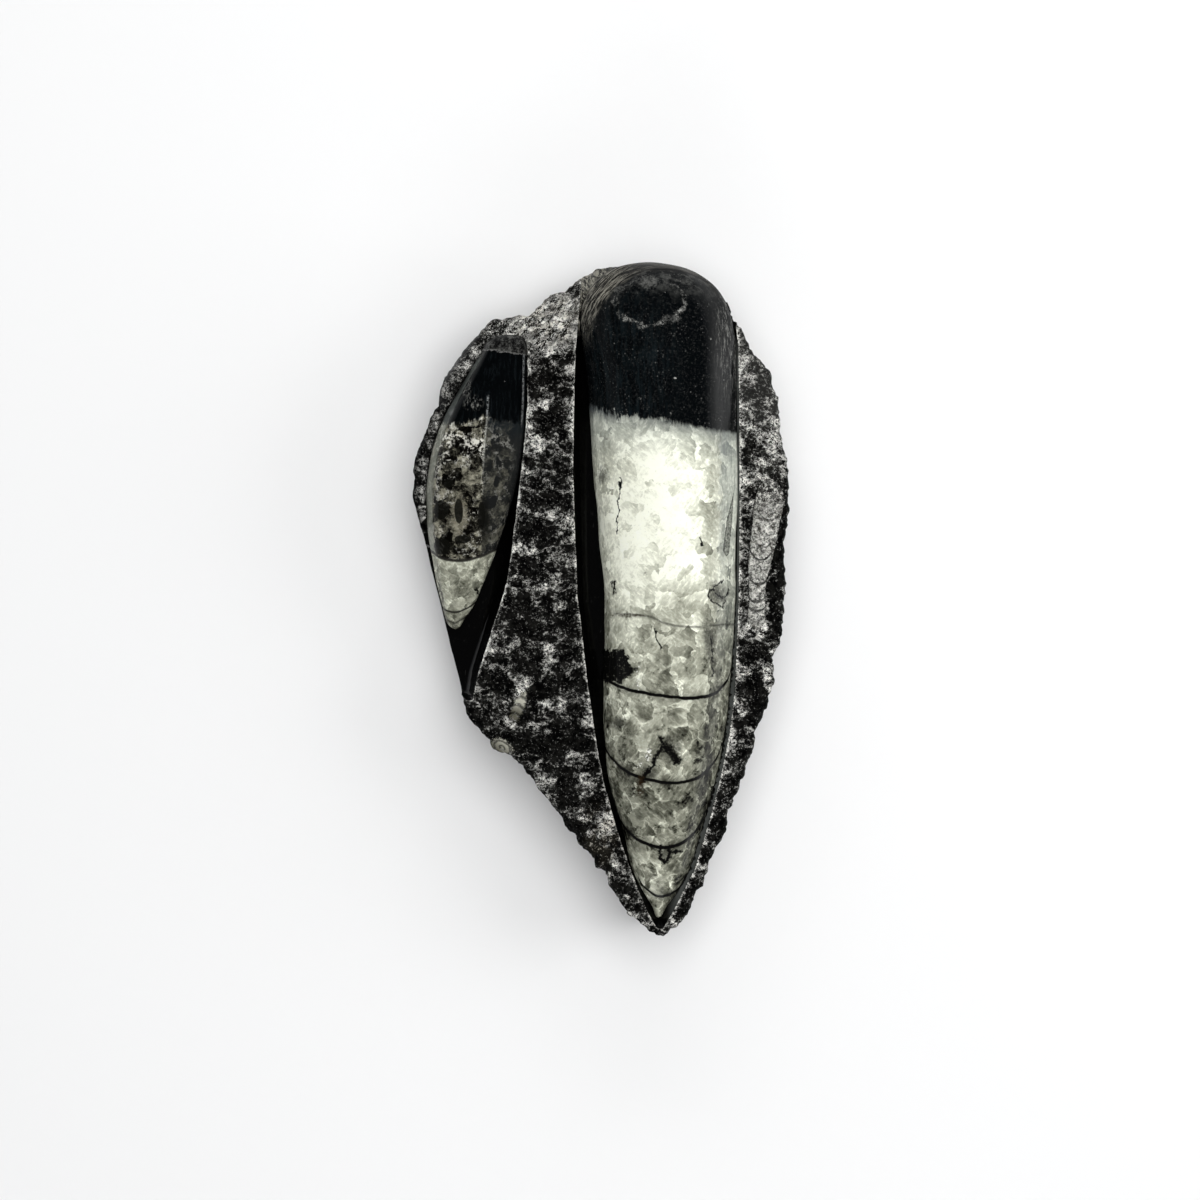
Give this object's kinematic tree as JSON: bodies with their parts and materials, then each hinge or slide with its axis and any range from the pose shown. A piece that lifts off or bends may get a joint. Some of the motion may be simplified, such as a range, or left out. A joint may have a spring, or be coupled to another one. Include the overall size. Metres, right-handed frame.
{
  "type": "orthoceras fossil",
  "caption": "Polished straight nautiloid shells standing out of a chiselled black limestone slab, flat sawn back.",
  "frame": {"origin": "middle of the outline on the sawn back that the piece lies on", "axes": "+X across the slab to the right, +Y from the shells' pointed ends to their blunt ends, +Z out of the worked face"},
  "size_m": [0.084, 0.15, 0.0372],
  "materials": {
    "black_limestone": "near-black fossil limestone, chiselled with pale bruises on the face and edges, polished in the channels, sawn matt on the back",
    "polished_calcite": "polished cream-white calcite crystals with dark chamber walls, and a polished black stone filling in the living chamber",
    "smoky_calcite": "polished smoky brown-grey calcite, cream at the pointed end and black at the blunt end",
    "chiselled_calcite": "rough chiselled grey-white calcite with curved chamber walls"
  },
  "bodies": {
    "root": {"matrix": "black_limestone", "large_orthocone": "polished_calcite", "small_orthocone": "smoky_calcite", "side_orthocone": "chiselled_calcite"}
  },
  "joints": []
}
